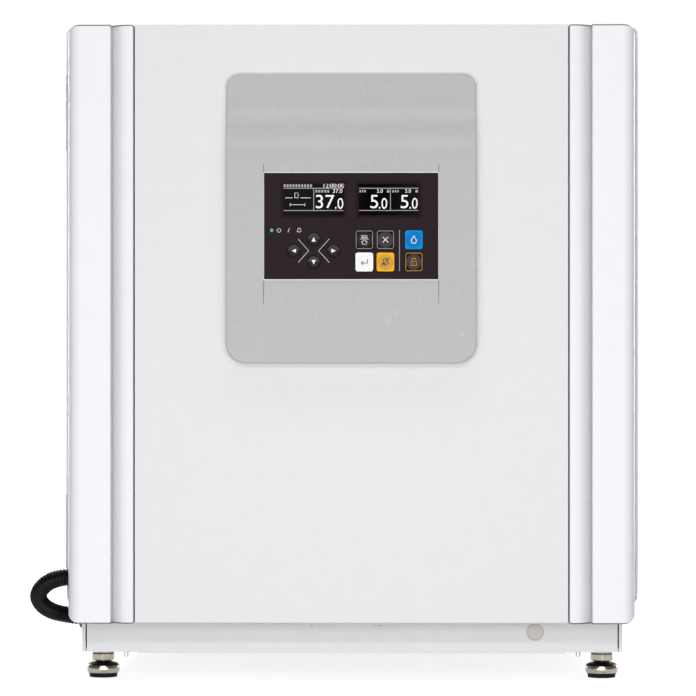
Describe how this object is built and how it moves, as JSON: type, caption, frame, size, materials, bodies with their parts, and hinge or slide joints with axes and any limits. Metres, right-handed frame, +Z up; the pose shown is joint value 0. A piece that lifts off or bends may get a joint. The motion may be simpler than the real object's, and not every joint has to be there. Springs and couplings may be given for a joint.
{
  "type": "laboratory incubator",
  "caption": "Benchtop CO2 incubator: white cabinet on levelling feet, full-height door with a grey control unit, inner glass door, slotted shelves and humidity tray.",
  "frame": {"origin": "on the floor, below the middle of the bounding box", "axes": "+Z up; the doors face -Y; +X is the right-hand side seen from the front, and the hinges are at -X"},
  "size_m": [0.5087, 0.548, 0.546],
  "materials": {
    "white_paint": "satin",
    "white_plastic": "satin",
    "grey_plastic": "satin",
    "dark_plastic": "satin",
    "black_plastic": "satin",
    "grey_rubber": "matte",
    "stainless": "satin",
    "zinc": "satin",
    "brass": "satin",
    "glass": "polished",
    "foam": "matte",
    "white_key": "satin",
    "blue_key": "satin",
    "amber_key": "satin"
  },
  "bodies": {
    "cabinet": {"cabinet_shell": "white_paint", "back_panel": "white_paint", "front_frame": "white_plastic", "insulation_jacket": "foam", "plinth_pan": "white_paint", "plinth_front": "white_paint", "plinth_plug": "grey_plastic", "rear_cover": "white_paint", "power_inlet": "black_plastic", "gas_inlet_block": "brass", "access_port_sleeve": "white_plastic", "inner_chamber": "stainless", "inner_gasket": "grey_rubber", "shelf_rack_left": "stainless", "shelf_rack_right": "stainless", "fan_duct": "stainless", "fan_motor": "black_plastic", "uv_lamp": "glass", "gas_sensor": "grey_plastic", "inner_hinge_rail": "stainless", "hinge_lower_cabinet": "white_paint", "hinge_upper_cabinet": "white_paint", "conduit_gland": "black_plastic"},
    "outer_door": {"door_skin": "white_paint", "door_trim_left": "white_plastic", "door_trim_right": "white_plastic", "door_liner": "white_paint", "door_insulation": "foam", "door_gasket": "grey_rubber", "hinge_lower_door": "white_paint", "hinge_upper_door": "white_paint", "control_housing": "grey_plastic", "control_overlay": "dark_plastic", "display_module": "black_plastic", "lock_strike": "stainless", "door_conduit": "black_plastic"},
    "inner_door": {"inner_door_glass": "glass"},
    "inner_latch": {"inner_door_latch": "black_plastic"},
    "shelf_lower": {"shelf_1": "stainless"},
    "shelf_middle": {"shelf_2": "stainless"},
    "shelf_upper": {"shelf_3": "stainless"},
    "tray": {"humidity_tray": "stainless"},
    "fan": {"fan_impeller": "white_plastic"},
    "port_plug": {"access_port_plug": "grey_rubber"},
    "rocker": {"power_rocker": "black_plastic"},
    "lock_pin": {"door_lock_pin": "stainless"},
    "button_up": {"key_up": "dark_plastic"},
    "button_down": {"key_down": "dark_plastic"},
    "button_left": {"key_left": "dark_plastic"},
    "button_right": {"key_right": "dark_plastic"},
    "button_menu": {"key_menu": "dark_plastic"},
    "button_cancel": {"key_cancel": "dark_plastic"},
    "button_disinfect": {"key_disinfect": "blue_key"},
    "button_enter": {"key_enter": "white_key"},
    "button_buzzer": {"key_buzzer": "amber_key"},
    "button_unlock": {"key_unlock": "dark_plastic"},
    "levelling_front_left": {"foot_front_left": "zinc"},
    "levelling_front_right": {"foot_front_right": "zinc"},
    "levelling_rear_left": {"foot_rear_left": "zinc"},
    "levelling_rear_right": {"foot_rear_right": "zinc"}
  },
  "joints": [
    {"name": "outer_door_hinge", "type": "hinge", "parent": "cabinet", "child": "outer_door", "pos_m": [-0.2368, -0.2165, 0.3], "axis": [0, 0, -1], "range_deg": [0, 105], "deforming": ["door_conduit"]},
    {"name": "inner_door_hinge", "type": "hinge", "parent": "cabinet", "child": "inner_door", "pos_m": [-0.189, -0.202, 0.3], "axis": [0, 0, -1], "range_deg": [0, 100]},
    {"name": "inner_latch_turn", "type": "hinge", "parent": "inner_door", "child": "inner_latch", "pos_m": [0.178, -0.2075, 0.3], "axis": [0, 1, 0], "range_deg": [0, 90]},
    {"name": "fan_spin", "type": "hinge", "parent": "cabinet", "child": "fan", "pos_m": [0, 0.17, 0.405], "axis": [0, 1, 0], "continuous": true},
    {"name": "port_plug_slide", "type": "slide", "parent": "cabinet", "child": "port_plug", "axis": [0, 1, 0], "range_m": [0, 0.07]},
    {"name": "power_rocker_tilt", "type": "hinge", "parent": "cabinet", "child": "rocker", "pos_m": [0.18, 0.2672, 0.1], "axis": [1, 0, 0], "range_deg": [0, 20]},
    {"name": "door_lock_rise", "type": "slide", "parent": "cabinet", "child": "lock_pin", "axis": [0, 0, 1], "range_m": [0, 0.008]},
    {"name": "shelf_1_slide", "type": "slide", "parent": "cabinet", "child": "shelf_lower", "axis": [0, -1, 0], "range_m": [0, 0.1]},
    {"name": "shelf_2_slide", "type": "slide", "parent": "cabinet", "child": "shelf_middle", "axis": [0, -1, 0], "range_m": [0, 0.1]},
    {"name": "shelf_3_slide", "type": "slide", "parent": "cabinet", "child": "shelf_upper", "axis": [0, -1, 0], "range_m": [0, 0.1]},
    {"name": "tray_slide", "type": "slide", "parent": "cabinet", "child": "tray", "axis": [0, -1, 0], "range_m": [0, 0.1]},
    {"name": "key_up_press", "type": "slide", "parent": "outer_door", "child": "button_up", "axis": [0, 1, 0], "range_m": [0, 0.0005], "stiffness_N_per_m": 800},
    {"name": "key_down_press", "type": "slide", "parent": "outer_door", "child": "button_down", "axis": [0, 1, 0], "range_m": [0, 0.0005], "stiffness_N_per_m": 800},
    {"name": "key_left_press", "type": "slide", "parent": "outer_door", "child": "button_left", "axis": [0, 1, 0], "range_m": [0, 0.0005], "stiffness_N_per_m": 800},
    {"name": "key_right_press", "type": "slide", "parent": "outer_door", "child": "button_right", "axis": [0, 1, 0], "range_m": [0, 0.0005], "stiffness_N_per_m": 800},
    {"name": "key_menu_press", "type": "slide", "parent": "outer_door", "child": "button_menu", "axis": [0, 1, 0], "range_m": [0, 0.0005], "stiffness_N_per_m": 800},
    {"name": "key_cancel_press", "type": "slide", "parent": "outer_door", "child": "button_cancel", "axis": [0, 1, 0], "range_m": [0, 0.0005], "stiffness_N_per_m": 800},
    {"name": "key_disinfect_press", "type": "slide", "parent": "outer_door", "child": "button_disinfect", "axis": [0, 1, 0], "range_m": [0, 0.0005], "stiffness_N_per_m": 800},
    {"name": "key_enter_press", "type": "slide", "parent": "outer_door", "child": "button_enter", "axis": [0, 1, 0], "range_m": [0, 0.0005], "stiffness_N_per_m": 800},
    {"name": "key_buzzer_press", "type": "slide", "parent": "outer_door", "child": "button_buzzer", "axis": [0, 1, 0], "range_m": [0, 0.0005], "stiffness_N_per_m": 800},
    {"name": "key_unlock_press", "type": "slide", "parent": "outer_door", "child": "button_unlock", "axis": [0, 1, 0], "range_m": [0, 0.0005], "stiffness_N_per_m": 800},
    {"name": "foot_front_left_screw", "type": "slide", "parent": "cabinet", "child": "levelling_front_left", "axis": [0, 0, -1], "range_m": [0, 0.01]},
    {"name": "foot_front_right_screw", "type": "slide", "parent": "cabinet", "child": "levelling_front_right", "axis": [0, 0, -1], "range_m": [0, 0.01]},
    {"name": "foot_rear_left_screw", "type": "slide", "parent": "cabinet", "child": "levelling_rear_left", "axis": [0, 0, -1], "range_m": [0, 0.01]},
    {"name": "foot_rear_right_screw", "type": "slide", "parent": "cabinet", "child": "levelling_rear_right", "axis": [0, 0, -1], "range_m": [0, 0.01]}
  ],
  "couplings": [
    {"joint": "inner_door_hinge", "follows": "outer_door_hinge", "ratio": 0.9},
    {"joint": "shelf_1_slide", "follows": "outer_door_hinge", "m_per_rad": 0.05},
    {"joint": "shelf_2_slide", "follows": "outer_door_hinge", "m_per_rad": 0.05},
    {"joint": "shelf_3_slide", "follows": "outer_door_hinge", "m_per_rad": 0.05},
    {"joint": "tray_slide", "follows": "outer_door_hinge", "m_per_rad": 0.05}
  ]
}
